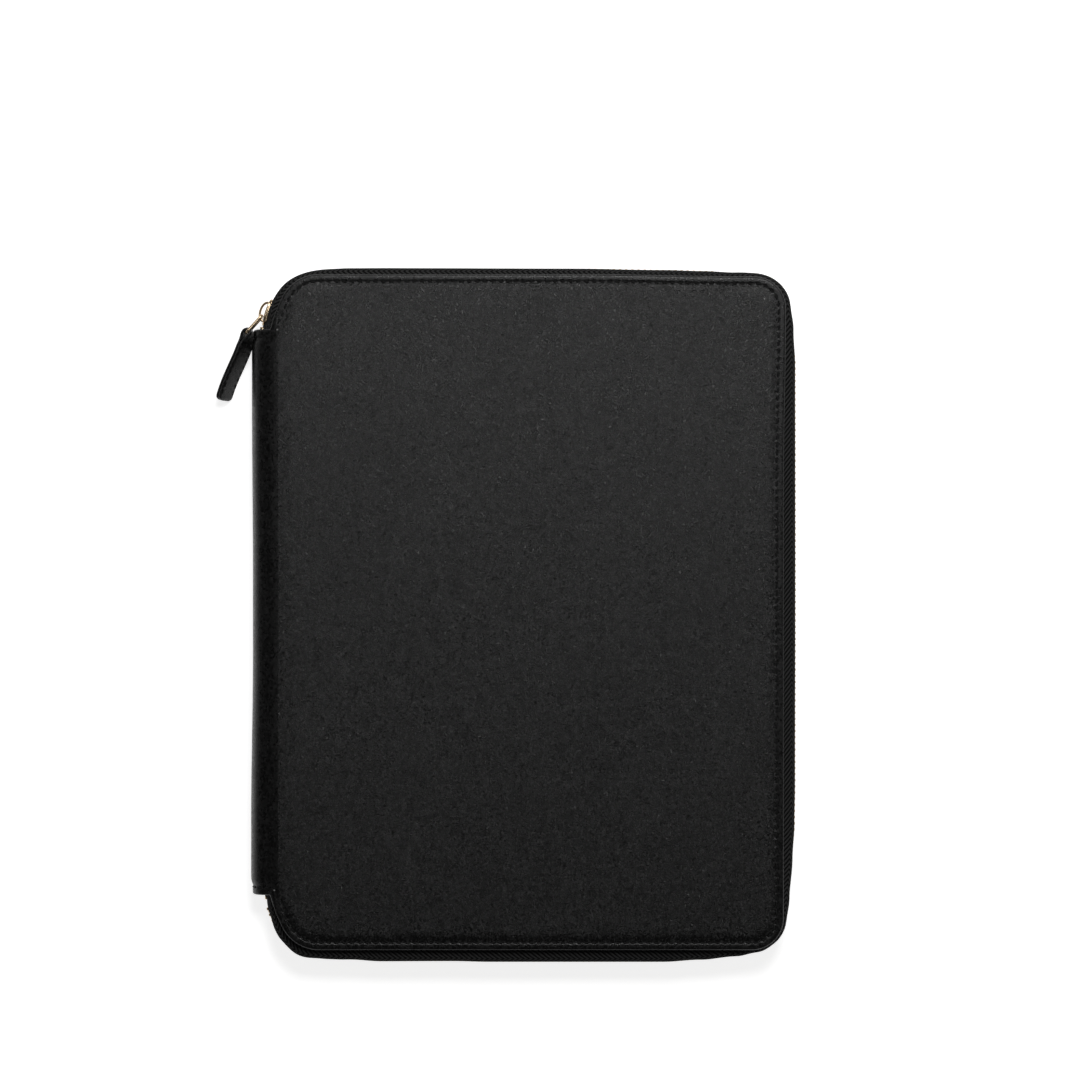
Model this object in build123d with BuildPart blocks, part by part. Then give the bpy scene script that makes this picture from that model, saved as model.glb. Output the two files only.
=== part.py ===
"""Zip-around leather portfolio case, closed and lying on its back cover.

Frame: origin at the centre of the back cover's underside, +X from the spine to the fore edge,
+Y up the page, +Z from the back cover to the front cover. Millimetres.
"""

import os
from math import cos, radians, sin

from build123d import *

os.makedirs("parts", exist_ok=True)

# ---- driving dimensions -----------------------------------------------------------------------
case_thickness = 24.0
mid_z = case_thickness / 2
fore_edge = 130.0                  # covers' edge on the side away from the spine
half_height = 164.0                # covers' top and bottom edges
fore_corner_radius = 15.5
spine_corner_radius = 20.0         # covers' corners beside the spine
spine_corner_centre = (-97.4, 144.0)
spine_corner_turn = 66.0           # degrees turned before the edge runs straight to the notch
notch_x = -122.2                   # where a cover's edge meets the end of the spine leather
spine_half_length = 137.5

# layers of one cover, outside to inside
leather_thickness = 1.3
foam_thickness = 1.0
board_thickness = 1.8
tape_thickness = 0.6
lining_top = 5.4                   # inner face of the back cover's lining
rim_height = leather_thickness + foam_thickness + board_thickness
ply_gap = 0.1                      # beside a layer that sits inside a rim
layer_left = -117.0                # foam, board and tapes stop short of the rounded spine

# rounded spine
spine_axis_x = -118.0
spine_radius = case_thickness / 2
spine_stiffener_thickness = 0.6
spine_lining_thickness = 0.6
spine_half_angle = 39.0            # the spine's own share of the round, each side of level
cover_round_angle = 51.0           # the covers' leather takes over from here

# zip chain, run round the case on one tangent line
chain_spine_x = -123.0
chain_spine_radius = 30.0
chain_top = 167.6
chain_fore_x = 133.6
chain_fore_radius = 19.1
chain_end_y = 131.0                # the tapes' ends, tucked inside the spine
end_tape_z = 19.2                  # the front tape's root edge where it runs into the spine
tape_wall = 0.7
tape_flange_inset = 9.0            # how far in from a cover's edge the tape is sewn
tooth_pitch_target = 3.0
tooth_length = 1.3
tooth_width = 2.4
tooth_tip_z = 12.6                 # front teeth: the end next to the other row
tooth_root_z = 15.2
split_turn = 54.4                  # degrees round the corner where covers and spine share the zip
split_setback = 0.3                # from the split to either tape
back_end_setback = 2.4             # the back tape's ends leave room for the tooth on the split
stop_from_end = 8.0                # metal stops, measured along the zip from its ends
stop_length = 2.0
end_teeth_from = 10.0              # nearest tooth to either end of the zip

# pieces on the linings
pocket_corner_radius = 6.0
pocket_edge_chamfer = 0.3
pad_pocket_size = (214.0, 196.0, 1.2)
pad_pocket_centre = (14.0, -46.0)
pen_loop_centre = (-106.0, 6.0)
pen_loop_outer = (11.0, 46.0, 10.4)
pen_loop_wall = 1.2
pen_loop_corner_radius = 3.5
document_pocket_size = (212.0, 176.0, 1.2)
document_pocket_centre = (12.0, -60.0)
card_pocket_sizes = [(104.0, 88.0), (104.0, 74.0), (104.0, 60.0)]
card_pocket_base_y = 46.0
card_pocket_x = -34.0
card_pocket_thickness = 0.8
card_pocket_corner_radius = 4.0

# slider, riding on the spine end's turn of the zip
slider_turn = 72.0
slider_half_turn = 11.5
slider_plate = 1.1
slider_inner_gap = 1.5             # from the chain's line to either plate
slider_half_depth = 4.6
flange_depth = 1.0
flange_gap = 0.65
neck_turns = (76.0, 82.0)
neck_thickness = 0.6
crown_turns = (66.5, 81.0)
crown_outer = 5.6                  # from the chain's line
crown_half_depth = 2.2
crown_fillet = 1.4
pivot_turn = 76.9
pivot_out = 3.75
pin_clearance = 0.25

# link and pull tab
wire_diameter = 1.5
far_bar = (-133.0, 137.2)
link_bend_radius = 1.2
link_near_half = 2.6
link_far_half = 3.7
tab_tip = (-144.8, 104.0)
tab_tip_z = 5.8
tab_thickness = 3.0
tab_loop_radius = 2.6
tab_loop_clearance = 0.3           # round the link's far bar
tab_neck_half = 3.4
tab_half_width = 5.0
tab_neck_length = 8.0
tab_tip_radius = 3.0


def turn_point(turn, out=0.0):
    """A point on the zip's turn at the spine end, degrees from the top run, out from its line."""
    reach = chain_spine_radius + out
    angle = radians(turn)
    centre_x = chain_spine_x + chain_spine_radius
    centre_y = chain_top - chain_spine_radius
    return (centre_x - reach * sin(angle), centre_y + reach * cos(angle))


def sector(turn_from, turn_to, out_from, out_to):
    """A face between two turns and two distances from the zip's line."""
    middle = (turn_from + turn_to) / 2
    with BuildSketch() as face:
        with BuildLine():
            ThreePointArc(
                turn_point(turn_from, out_from),
                turn_point(middle, out_from),
                turn_point(turn_to, out_from),
            )
            Line(turn_point(turn_to, out_from), turn_point(turn_to, out_to))
            ThreePointArc(
                turn_point(turn_to, out_to),
                turn_point(middle, out_to),
                turn_point(turn_from, out_to),
            )
            Line(turn_point(turn_from, out_to), turn_point(turn_from, out_from))
        make_face()
    return face.sketch


# ---- outlines ---------------------------------------------------------------------------------
with BuildSketch() as cover_outline:
    with BuildLine():
        corner = CenterArc(spine_corner_centre, spine_corner_radius, 90, spine_corner_turn)
        Line(corner @ 1, (notch_x, spine_half_length))
        Line((notch_x, spine_half_length), (spine_axis_x - spine_radius, spine_half_length))
        Line((spine_axis_x - spine_radius, spine_half_length), (spine_axis_x - spine_radius, 0))
        top_line = Line(corner @ 0, (fore_edge - fore_corner_radius, half_height))
        fore_corner = TangentArc(
            top_line @ 1,
            (fore_edge, half_height - fore_corner_radius),
            tangent=(1, 0),
        )
        Line(fore_corner @ 1, (fore_edge, 0))
        Line((fore_edge, 0), (spine_axis_x - spine_radius, 0))
    make_face()
    mirror(about=Plane.XZ)


def cover_sheet(inset, left=layer_left):
    """The cover's outline drawn in by an inset, from the given X to the fore edge."""
    width = fore_edge - left
    with BuildSketch() as sheet:
        add(cover_outline.sketch)
        if inset:
            offset(amount=-inset, kind=Kind.INTERSECTION)
        with Locations((left + width / 2, 0)):
            Rectangle(width, 2 * half_height, mode=Mode.INTERSECT)
    return sheet.sketch


def cover_ring(outer_inset, inner_inset, left=layer_left):
    """A band that follows the cover's edge between two insets."""
    with BuildSketch() as ring:
        add(cover_sheet(outer_inset, left))
        with BuildSketch(mode=Mode.SUBTRACT):
            add(cover_outline.sketch)
            offset(amount=-inner_inset, kind=Kind.INTERSECTION)
    return ring.sketch


def round_section(outer, inner, angle_from, angle_to):
    """The spine's round in the XZ plane, between two radii and two angles up from level."""
    def at(radius, angle):
        return (
            spine_axis_x - radius * cos(radians(angle)),
            mid_z + radius * sin(radians(angle)),
        )

    middle = (angle_from + angle_to) / 2
    with BuildSketch() as face:
        with BuildLine():
            ThreePointArc(at(outer, angle_from), at(outer, middle), at(outer, angle_to))
            Line(at(outer, angle_to), at(inner, angle_to))
            ThreePointArc(at(inner, angle_to), at(inner, middle), at(inner, angle_from))
            Line(at(inner, angle_from), at(outer, angle_from))
        make_face()
    return face.sketch


# Plane.XZ looks along -Y, so its local Y is the frame's Z.
side_plane = Plane.XZ

# ---- the zip's line and where its teeth sit ---------------------------------------------------
spine_turn_centre = (chain_spine_x + chain_spine_radius, chain_top - chain_spine_radius)
fore_turn_centre = (chain_fore_x - chain_fore_radius, chain_top - chain_fore_radius)

with BuildLine() as chain_line:
    Line((chain_spine_x, chain_end_y), (chain_spine_x, spine_turn_centre[1]))
    CenterArc(spine_turn_centre, chain_spine_radius, 180, -90)
    Line((spine_turn_centre[0], chain_top), (fore_turn_centre[0], chain_top))
    CenterArc(fore_turn_centre, chain_fore_radius, 90, -90)
    Line((chain_fore_x, fore_turn_centre[1]), (chain_fore_x, -fore_turn_centre[1]))
    CenterArc((fore_turn_centre[0], -fore_turn_centre[1]), chain_fore_radius, 0, -90)
    Line((fore_turn_centre[0], -chain_top), (spine_turn_centre[0], -chain_top))
    CenterArc((spine_turn_centre[0], -spine_turn_centre[1]), chain_spine_radius, 270, -90)
    Line((chain_spine_x, -spine_turn_centre[1]), (chain_spine_x, -chain_end_y))

chain_wire = chain_line.wires()[0]
chain_length = chain_wire.length
split_length = (
    spine_turn_centre[1] - chain_end_y
    + chain_spine_radius * radians(90 - split_turn)
)


def chain_place(length):
    """A location on the zip's line, at a length from its top end, square to it."""
    point = chain_wire.position_at(length, PositionMode.LENGTH)
    heading = chain_wire.tangent_at(length, PositionMode.LENGTH)
    angle = Vector(1, 0, 0).get_signed_angle(heading)
    return Location((point.X, point.Y, 0), (0, 0, angle))


def chain_band(width, side, setback):
    """A band along the zip's line, on the covers' or the spine's side of the split."""
    reach = 2 * fore_edge
    from_split = reach / 2 + setback
    split_x = turn_point(split_turn)[0]
    with BuildSketch() as band:
        trace(chain_line.line, line_width=width)
        with Locations((split_x + (from_split if side == "covers" else -from_split), 0)):
            Rectangle(reach, 3 * half_height, mode=Mode.INTERSECT)
    return band.sketch


covers_length = chain_length - 2 * split_length
tooth_pitch = covers_length / round(covers_length / tooth_pitch_target)


def tooth_places(shift, first, last):
    """Teeth between two lengths along the zip's line, as locations square to it."""
    start = split_length + (0.5 + shift) * tooth_pitch
    start -= tooth_pitch * int(start / tooth_pitch)
    places = []
    for step in range(int(chain_length / tooth_pitch)):
        length = start + step * tooth_pitch
        if first <= length <= last:
            places.append(chain_place(length))
    return places


# ---- covers: each piece is made for the back cover and mirrored for the front -----------------
middle_plane = Plane.XY.offset(mid_z)

with BuildPart() as back_cover_leather:
    with BuildSketch(side_plane):
        panel_length = fore_edge - spine_axis_x
        with Locations((spine_axis_x + panel_length / 2, leather_thickness / 2)):
            Rectangle(panel_length, leather_thickness)
        add(
            round_section(
                spine_radius, spine_radius - leather_thickness, -90, -cover_round_angle
            )
        )
    extrude(amount=half_height, both=True)
    with BuildSketch():
        add(cover_outline.sketch)
    extrude(amount=case_thickness, mode=Mode.INTERSECT)
    with BuildSketch():
        add(cover_ring(0, leather_thickness))
    extrude(amount=rim_height)

with BuildPart() as back_foam:
    with BuildSketch(Plane.XY.offset(leather_thickness)):
        add(cover_sheet(leather_thickness + ply_gap))
    extrude(amount=foam_thickness)

with BuildPart() as back_board:
    with BuildSketch(Plane.XY.offset(leather_thickness + foam_thickness)):
        add(cover_sheet(leather_thickness + 2 * ply_gap))
    extrude(amount=board_thickness)

lining_step = rim_height + tape_thickness

with BuildPart() as back_lining:
    with BuildSketch(Plane.XY.offset(rim_height)):
        add(cover_sheet(tape_flange_inset + ply_gap))
    extrude(amount=lining_top - rim_height)
    with BuildSketch(Plane.XY.offset(lining_step)):
        add(cover_sheet(leather_thickness + 2 * ply_gap))
    extrude(amount=lining_top - lining_step)

with BuildPart() as back_zip_tape:
    with BuildSketch(Plane.XY.offset(rim_height)):
        with BuildSketch():
            make_face(Wire(chain_wire.edges() + [Line(chain_wire @ 1, chain_wire @ 0).edge()]))
        add(cover_sheet(tape_flange_inset, 2 * layer_left), mode=Mode.SUBTRACT)
        with Locations((fore_edge, 0)):
            Rectangle(2 * (fore_edge - layer_left), 3 * half_height, mode=Mode.INTERSECT)
    extrude(amount=tape_thickness)
    with BuildSketch(Plane.XY.offset(rim_height)):
        add(chain_band(tape_wall, "covers", split_setback))
    extrude(amount=case_thickness - tooth_root_z - rim_height)

first_back_tooth = split_length - tooth_length / 2

with BuildPart() as back_zip_teeth:
    with BuildSketch(Plane.XY.offset(case_thickness - tooth_root_z)):
        # the back row has a tooth on each split, and both ride on the cover
        with Locations(*tooth_places(0.5, first_back_tooth, chain_length - first_back_tooth)):
            Rectangle(tooth_length, tooth_width)
    extrude(amount=tooth_root_z - tooth_tip_z)

with BuildPart() as pad_pocket:
    width, height, thickness = pad_pocket_size
    with BuildSketch(Plane.XY.offset(lining_top)):
        with Locations(pad_pocket_centre):
            RectangleRounded(width, height, pocket_corner_radius)
    extrude(amount=thickness)
    chamfer(pad_pocket.edges().group_by(Axis.Z)[-1], pocket_edge_chamfer)

with BuildPart() as pen_loop:
    width, length, height = pen_loop_outer
    loop_x, loop_y = pen_loop_centre
    with BuildSketch(side_plane.offset(-loop_y)):
        with Locations((loop_x, lining_top + height / 2)):
            RectangleRounded(width, height, pen_loop_corner_radius)
            RectangleRounded(
                width - 2 * pen_loop_wall,
                height - 2 * pen_loop_wall,
                pen_loop_corner_radius - pen_loop_wall,
                mode=Mode.SUBTRACT,
            )
    extrude(amount=length / 2, both=True)

with BuildPart() as front_cover_leather:
    mirror(back_cover_leather.part, about=middle_plane)

with BuildPart() as front_foam:
    mirror(back_foam.part, about=middle_plane)

with BuildPart() as front_board:
    mirror(back_board.part, about=middle_plane)

with BuildPart() as front_lining:
    mirror(back_lining.part, about=middle_plane)

with BuildPart() as front_zip_tape:
    mirror(back_zip_tape.part, about=middle_plane)

with BuildPart() as front_zip_teeth:
    with BuildSketch(Plane.XY.offset(tooth_tip_z)):
        with Locations(*tooth_places(0, split_length, chain_length - split_length)):
            Rectangle(tooth_length, tooth_width)
    extrude(amount=tooth_root_z - tooth_tip_z)

# ---- pockets on the front cover's lining, their faces towards the back cover ------------------
front_lining_z = case_thickness - lining_top

with BuildPart() as document_pocket:
    width, height, thickness = document_pocket_size
    with BuildSketch(Plane.XY.offset(front_lining_z - thickness)):
        with Locations(document_pocket_centre):
            RectangleRounded(width, height, pocket_corner_radius)
    extrude(amount=thickness)
    chamfer(document_pocket.edges().group_by(Axis.Z)[0], pocket_edge_chamfer)

card_pockets = []
for step, (width, height) in enumerate(card_pocket_sizes):
    with BuildPart() as card_pocket:
        with BuildSketch(Plane.XY.offset(front_lining_z - (step + 1) * card_pocket_thickness)):
            with Locations((card_pocket_x, card_pocket_base_y + height / 2)):
                RectangleRounded(width, height, card_pocket_corner_radius)
        extrude(amount=card_pocket_thickness)
    card_pockets.append(card_pocket)

# ---- spine ------------------------------------------------------------------------------------
stiffener_radius = spine_radius - leather_thickness
spine_lining_radius = stiffener_radius - spine_stiffener_thickness
spine_hollow_radius = spine_lining_radius - spine_lining_thickness
tape_outer_x = chain_spine_x - tape_wall / 2

with BuildPart() as spine_leather:
    with BuildSketch(side_plane):
        add(
            round_section(
                spine_radius, stiffener_radius, -spine_half_angle, spine_half_angle
            )
        )
    extrude(amount=spine_half_length, both=True)

with BuildPart() as spine_stiffener:
    with BuildSketch(side_plane):
        add(
            round_section(
                stiffener_radius, spine_lining_radius, -spine_half_angle, spine_half_angle
            )
        )
    extrude(amount=chain_end_y, both=True)

with BuildPart() as spine_lining:
    with BuildSketch(side_plane):
        add(
            round_section(
                spine_lining_radius, spine_hollow_radius, -spine_half_angle, spine_half_angle
            )
        )
    extrude(amount=spine_half_length, both=True)
    # turned-in hems that the zip's ends are sewn to
    hem_half_depth = spine_hollow_radius * sin(radians(spine_half_angle))
    for end in (1, -1):
        with BuildSketch(side_plane.offset(-end * (chain_end_y + spine_half_length) / 2)):
            with Locations((spine_axis_x, mid_z)):
                Circle(spine_hollow_radius)
            with Locations((tape_outer_x - spine_radius, mid_z)):
                Rectangle(2 * spine_radius, 2 * hem_half_depth, mode=Mode.INTERSECT)
        extrude(amount=(spine_half_length - chain_end_y) / 2, both=True)

# ---- the zip's ends, which stay with the spine ------------------------------------------------
with BuildPart() as front_zip_tape_ends:
    with BuildSketch(Plane.XY.offset(tooth_root_z)):
        add(chain_band(tape_wall, "spine", split_setback))
    extrude(amount=end_tape_z - tooth_root_z)

with BuildPart() as back_zip_tape_ends:
    with BuildSketch(Plane.XY.offset(case_thickness - end_tape_z)):
        add(chain_band(tape_wall, "spine", back_end_setback))
    extrude(amount=end_tape_z - tooth_root_z)

end_stretches = [
    (end_teeth_from, split_length - tooth_length),
    (chain_length - split_length + tooth_length, chain_length - end_teeth_from),
]

with BuildPart() as front_zip_teeth_ends:
    with BuildSketch(Plane.XY.offset(tooth_tip_z)):
        for first, last in end_stretches:
            with Locations(*tooth_places(0, first, last)):
                Rectangle(tooth_length, tooth_width)
    extrude(amount=tooth_root_z - tooth_tip_z)

with BuildPart() as back_zip_teeth_ends:
    with BuildSketch(Plane.XY.offset(case_thickness - tooth_root_z)):
        for first, last in end_stretches:
            with Locations(*tooth_places(0.5, first, last)):
                Rectangle(tooth_length, tooth_width)
    extrude(amount=tooth_root_z - tooth_tip_z)

with BuildPart() as top_stops:
    with BuildSketch(Plane.XY.offset(tooth_tip_z)):
        with Locations(chain_place(stop_from_end)):
            Rectangle(stop_length, tooth_width)
    extrude(amount=tooth_root_z - tooth_tip_z)
    mirror(about=middle_plane)

with BuildPart() as bottom_stop:
    with BuildSketch(Plane.XY.offset(case_thickness - tooth_root_z)):
        with Locations(chain_place(chain_length - stop_from_end)):
            Rectangle(stop_length, tooth_width)
    extrude(amount=2 * tooth_root_z - case_thickness)

# ---- slider -----------------------------------------------------------------------------------
slider_from = slider_turn - slider_half_turn
slider_to = slider_turn + slider_half_turn
plate_outer = slider_inner_gap + slider_plate
slider_bottom = mid_z - slider_half_depth

with BuildPart() as slider_body:
    with BuildSketch(Plane.XY.offset(slider_bottom)):
        add(sector(slider_from, slider_to, slider_inner_gap, plate_outer))
        add(sector(slider_from, slider_to, -plate_outer, -slider_inner_gap))
    extrude(amount=2 * slider_half_depth)
    for bottom in (slider_bottom, mid_z + slider_half_depth - flange_depth):
        with BuildSketch(Plane.XY.offset(bottom)):
            add(sector(slider_from, slider_to, flange_gap, slider_inner_gap))
            add(sector(slider_from, slider_to, -slider_inner_gap, -flange_gap))
        extrude(amount=flange_depth)
    with BuildSketch(Plane.XY.offset(mid_z - neck_thickness / 2)):
        add(sector(*neck_turns, -slider_inner_gap, slider_inner_gap))
    extrude(amount=neck_thickness)

crown_from, crown_to = crown_turns
pivot = turn_point(pivot_turn, pivot_out)

with BuildPart() as slider_crown:
    with BuildSketch(Plane.XY.offset(mid_z - crown_half_depth)) as crown_face:
        add(sector(crown_from, crown_to, plate_outer, crown_outer))
        outer_corners = crown_face.vertices().sort_by_distance(spine_turn_centre)[-2:]
        fillet(outer_corners, crown_fillet)
        with Locations(pivot):
            Circle(wire_diameter / 2 + pin_clearance, mode=Mode.SUBTRACT)
    extrude(amount=2 * crown_half_depth)

# ---- link: a closed wire loop, wider at the tab's end -----------------------------------------
link_axis = Vector(*far_bar) - Vector(*pivot)
link_plane = Plane(
    origin=(*pivot, mid_z),
    x_dir=link_axis,
    z_dir=Vector(0, 0, 1).cross(link_axis),
)
near_half = link_near_half + wire_diameter / 2
far_half = link_far_half + wire_diameter / 2

with BuildPart() as pull_link:
    with BuildLine(link_plane) as link_path:
        FilletPolyline(
            (0, near_half),
            (link_axis.length, far_half),
            (link_axis.length, -far_half),
            (0, -near_half),
            radius=link_bend_radius,
            close=True,
        )
    start = link_path.line @ 0
    with BuildSketch(Plane(origin=start, z_dir=link_path.line % 0)):
        Circle(wire_diameter / 2)
    sweep(path=link_path.wires()[0])

# ---- pull tab: one strap folded round the link and stitched to itself -------------------------
tab_axis = Vector(*tab_tip) - Vector(*far_bar)
tab_length = tab_axis.length + tab_half_width / 2
tab_drop = tab_tip_z - mid_z
tab_plan = Plane(origin=(*far_bar, mid_z), x_dir=tab_axis, z_dir=(0, 0, 1))
tab_side = Plane(origin=(*far_bar, mid_z), x_dir=tab_axis, z_dir=tab_plan.y_dir * -1)

with BuildPart() as pull_tab:
    with BuildSketch(tab_plan):
        with Locations((tab_length / 2, 0)):
            Rectangle(tab_length, tab_thickness)
        Circle(tab_loop_radius)
        Circle(wire_diameter / 2 + tab_loop_clearance, mode=Mode.SUBTRACT)
    extrude(amount=2 * mid_z, both=True)
    with BuildSketch(tab_side) as tab_outline:
        with BuildLine():
            Polyline(
                (-tab_half_width, tab_neck_half),
                (wire_diameter, tab_neck_half),
                (tab_neck_length, tab_half_width + tab_drop * tab_neck_length / tab_length),
                (tab_length, tab_half_width + tab_drop),
                (tab_length, -tab_half_width + tab_drop),
                (tab_neck_length, -tab_half_width + tab_drop * tab_neck_length / tab_length),
                (wire_diameter, -tab_neck_half),
                (-tab_half_width, -tab_neck_half),
                close=True,
            )
        make_face()
        tip_corners = tab_outline.vertices().sort_by_distance((*tab_tip, tab_tip_z))[:2]
        fillet(tip_corners, tab_tip_radius)
    extrude(amount=mid_z, both=True, mode=Mode.INTERSECT)

# ---- write every piece ------------------------------------------------------------------------
pieces = {
    "back_cover_leather": back_cover_leather,
    "back_foam": back_foam,
    "back_board": back_board,
    "back_lining": back_lining,
    "back_zip_tape": back_zip_tape,
    "back_zip_teeth": back_zip_teeth,
    "pad_pocket": pad_pocket,
    "pen_loop": pen_loop,
    "front_cover_leather": front_cover_leather,
    "front_foam": front_foam,
    "front_board": front_board,
    "front_lining": front_lining,
    "front_zip_tape": front_zip_tape,
    "front_zip_teeth": front_zip_teeth,
    "document_pocket": document_pocket,
    "spine_leather": spine_leather,
    "spine_stiffener": spine_stiffener,
    "spine_lining": spine_lining,
    "front_zip_tape_ends": front_zip_tape_ends,
    "back_zip_tape_ends": back_zip_tape_ends,
    "front_zip_teeth_ends": front_zip_teeth_ends,
    "back_zip_teeth_ends": back_zip_teeth_ends,
    "top_stops": top_stops,
    "bottom_stop": bottom_stop,
    "slider_body": slider_body,
    "slider_crown": slider_crown,
    "pull_link": pull_link,
    "pull_tab": pull_tab,
}
for step, card_pocket in enumerate(card_pockets, start=1):
    pieces[f"card_pocket_{step}"] = card_pocket

for name, piece in pieces.items():
    piece.part.label = name
    export_step(piece.part, f"parts/{name}.step")
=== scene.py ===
"""Looks of the zip-around portfolio case: leather skins, zip, slider pull, linings and pockets.

Lengths in this file are millimetres, turned into metres as each mesh is made. The frame is the
CAD frame: +X from spine to fore edge, +Y up the page, +Z from back cover to front cover.
"""

from math import acos, asin, atan2, cos, pi, radians, sin, sqrt

import bmesh
import bpy
import mathutils
import numpy as np
from mathutils.geometry import delaunay_2d_cdt
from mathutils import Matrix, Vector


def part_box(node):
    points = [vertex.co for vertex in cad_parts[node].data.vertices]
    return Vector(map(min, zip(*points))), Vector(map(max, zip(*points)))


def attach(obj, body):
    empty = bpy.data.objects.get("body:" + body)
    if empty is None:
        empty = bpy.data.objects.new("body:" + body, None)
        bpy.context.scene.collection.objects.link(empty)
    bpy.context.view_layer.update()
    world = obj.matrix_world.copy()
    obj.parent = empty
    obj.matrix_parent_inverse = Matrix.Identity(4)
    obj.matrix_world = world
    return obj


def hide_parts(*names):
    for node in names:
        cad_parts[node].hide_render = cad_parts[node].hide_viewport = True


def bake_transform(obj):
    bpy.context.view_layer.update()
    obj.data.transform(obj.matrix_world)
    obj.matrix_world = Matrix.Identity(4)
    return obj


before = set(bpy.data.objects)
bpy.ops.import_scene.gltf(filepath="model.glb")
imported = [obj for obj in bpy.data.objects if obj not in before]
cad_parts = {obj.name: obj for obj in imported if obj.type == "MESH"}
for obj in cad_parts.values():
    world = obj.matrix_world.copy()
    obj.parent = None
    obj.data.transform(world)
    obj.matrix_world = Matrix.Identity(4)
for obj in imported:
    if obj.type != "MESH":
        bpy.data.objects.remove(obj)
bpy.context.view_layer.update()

MM = 0.001

# ---- the case's own dimensions, as the CAD model has them ----
THICKNESS = 24.0
MID_Z = THICKNESS / 2
FORE_EDGE = 130.0
HALF_HEIGHT = 164.0
FORE_CORNER = 15.5
SPINE_CORNER = 20.0
SPINE_CORNER_CENTRE = (-97.4, 144.0)
SPINE_CORNER_TURN = 66.0
SPINE_AXIS_X = -118.0
SPINE_RADIUS = 12.0
SPINE_HALF_LENGTH = 137.5
NOTCH_X = -122.2
NOTCH_ROUND = 0.8

CHAIN_SPINE_X = -123.0
CHAIN_SPINE_RADIUS = 30.0
CHAIN_TOP = 167.6
CHAIN_FORE_X = 133.6
CHAIN_FORE_RADIUS = 19.1
CHAIN_END_Y = 131.0
TOOTH_PITCH = 3.0


# ---- small helpers ----
def unit(vector):
    """The vector at length one."""
    vector = np.asarray(vector, float)
    return vector / np.linalg.norm(vector)


def smooth(value, low, high):
    """0 below low, 1 above high, and a smooth step between them."""
    t = np.clip((value - low) / (high - low), 0.0, 1.0)
    return t * t * (3 - 2 * t)


def make_piece(name, points, faces, materials, indices=None, flat=False):
    """A mesh object from points in millimetres, with its materials by face."""
    mesh = bpy.data.meshes.new(name)
    mesh.from_pydata([tuple(MM * c for c in p) for p in points], [], faces)
    for material in materials:
        mesh.materials.append(material)
    if indices is not None:
        mesh.polygons.foreach_set("material_index", np.asarray(indices, np.int32))
    mesh.polygons.foreach_set("use_smooth", [not flat] * len(mesh.polygons))
    mesh.update()
    piece = bpy.data.objects.new(name, mesh)
    bpy.context.scene.collection.objects.link(piece)
    return piece


def face_outward(piece):
    """Turn the faces of a closed mesh outward."""
    work = bmesh.new()
    work.from_mesh(piece.data)
    bmesh.ops.recalc_face_normals(work, faces=work.faces)
    work.to_mesh(piece.data)
    work.free()


def squared(value, power):
    """A sine or cosine bent so that a round becomes squarer: the more, the lower the power."""
    return np.sign(value) * abs(value) ** power


def full_turn(count):
    """Cosine and sine at even steps round a full turn."""
    return [(cos(2 * pi * k / count), sin(2 * pi * k / count)) for k in range(count)]


def oval(half_wide, half_high, wide_power, high_power, count):
    """A rounded section's points: its half sizes, and how square it is each way."""
    return [(half_wide * squared(c, wide_power), half_high * squared(s, high_power))
            for c, s in full_turn(count)]


def on_side(z, back):
    """A height given for the front half, mirrored where it is wanted on the back half."""
    return THICKNESS - z if back else z


def body_of(back):
    """The body that a cover's pieces ride on."""
    return "back_cover" if back else "front_cover"


def lofted(name, rings, material, round_trip=False):
    """A closed piece through rings of points of equal length."""
    builder = Builder()
    builder.loops(rings, round_trip)
    return builder.piece(name, material)


class Builder:
    """Collects points and faces of many small closed shapes for one mesh."""

    def __init__(self):
        self.points = []
        self.faces = []

    def loops(self, rings, round_trip=False):
        """Join rings of equal length by quads; cap the ends, or join the last to the first."""
        base = len(self.points)
        size = len(rings[0])
        for ring in rings:
            self.points.extend(ring)
        for r in range(len(rings) if round_trip else len(rings) - 1):
            for i in range(size):
                j = (i + 1) % size
                a = base + r * size
                b = base + (r + 1) % len(rings) * size
                self.faces.append((a + i, a + j, b + j, b + i))
        if not round_trip:
            last = base + (len(rings) - 1) * size
            self.faces.append(tuple(base + i for i in reversed(range(size))))
            self.faces.append(tuple(last + i for i in range(size)))

    def piece(self, name, material, flat=False):
        """One closed piece of all that was collected, its faces turned outward."""
        piece = make_piece(name, self.points, self.faces, [material], flat=flat)
        face_outward(piece)
        return piece


# ---- outline of a cover on its developed sheet ----
# u is x on the flat, and runs on by arc length round the spine. v is y.
ROUND_END_U = SPINE_AXIS_X - SPINE_RADIUS * pi / 2
NOTCH_U = SPINE_AXIS_X - SPINE_RADIUS * asin((SPINE_AXIS_X - NOTCH_X) / SPINE_RADIUS)


def line_samples(start, end, step, inward):
    """Points from start up to, not including, end, each with the inward normal."""
    start, end = np.array(start, float), np.array(end, float)
    count = max(1, int(np.ceil(np.linalg.norm(end - start) / step)))
    return [(start + (end - start) * k / count, np.array(inward, float)) for k in range(count)]


def arc_samples(centre, radius, angle_from, angle_to, count, inside=True):
    """Points on an arc, angles in degrees; inside says the material is on the centre's side."""
    samples = []
    for k in range(count):
        angle = radians(angle_from + (angle_to - angle_from) * k / count)
        ray = np.array([cos(angle), sin(angle)])
        samples.append((np.array(centre) + radius * ray, -ray if inside else ray))
    return samples


STITCH_PITCH = 3.8
EDGE_STEP = STITCH_PITCH / 4


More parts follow.
